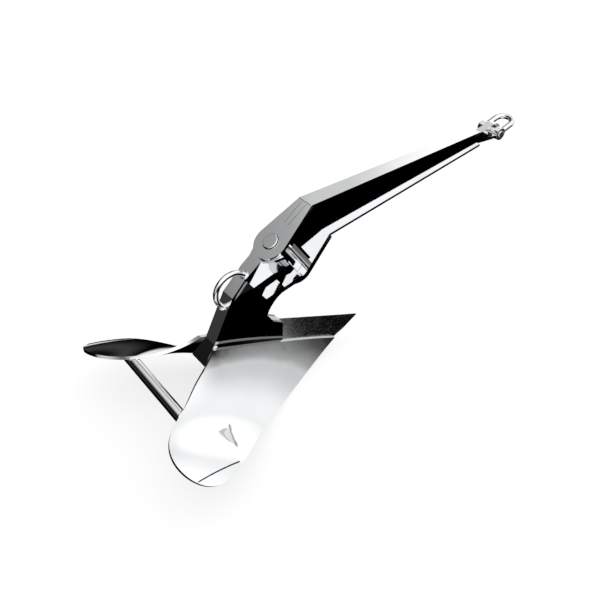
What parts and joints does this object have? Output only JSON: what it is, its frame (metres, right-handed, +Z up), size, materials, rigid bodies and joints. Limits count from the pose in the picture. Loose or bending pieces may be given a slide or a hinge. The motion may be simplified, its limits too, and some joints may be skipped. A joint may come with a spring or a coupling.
{
  "type": "hinged plough boat anchor",
  "caption": "Mirror-polished stainless hinged plough anchor with twin rolled blades, a brace tube, a tripping ring, a pinned I-beam shank and a bow shackle.",
  "frame": {"origin": "middle of the footprint, on the floor under the blades", "axes": "+X towards the toe and the shackle end, +Y to the left of the shank, +Z up; the part is symmetric about Y = 0 apart from the upper hinge plate and the shackle pin"},
  "size_m": [0.918, 0.4174, 0.3854],
  "materials": {
    "flange": "mirror polished",
    "web": "mirror polished",
    "plate": "mirror polished",
    "lug": "mirror polished",
    "pin": "mirror polished",
    "neck": "mirror polished",
    "toe": "mirror polished",
    "blade": "mirror polished",
    "tube": "mirror polished",
    "ring": "mirror polished",
    "shackle": "polished"
  },
  "bodies": {
    "fluke": {"neck_top_plate": "lug", "neck_middle_plate": "plate", "neck_bottom_plate": "plate", "neck_back_plate": "neck", "neck_web": "neck", "neck_left_cheek": "neck", "neck_right_cheek": "neck", "knuckle_upper_block": "neck", "knuckle_lower_block": "neck", "toe_wedge": "toe", "left_blade": "blade", "right_blade": "blade", "brace_tube": "tube", "rear_cross_plate": "neck", "tripping_ring": "ring"},
    "shank": {"shank_top_flange": "flange", "shank_bottom_flange": "flange", "shank_web": "web", "shank_throat_plate": "plate", "shank_top_lug": "lug", "shank_bottom_lug": "lug", "hinge_pin": "pin"},
    "shackle": {"shackle_bow": "shackle", "shackle_pin": "shackle"}
  },
  "joints": [
    {"name": "shank_swing", "type": "hinge", "parent": "fluke", "child": "shank", "pos_m": [-0.1584, 0, 0.3106], "axis": [-0.5821, 0, 0.8131], "range_deg": [-50, 50]},
    {"name": "shackle_swing", "type": "hinge", "parent": "shank", "child": "shackle", "pos_m": [0.40232, 0, 0.36399], "axis": [0, 1, 0], "range_deg": [-110, 110]}
  ]
}
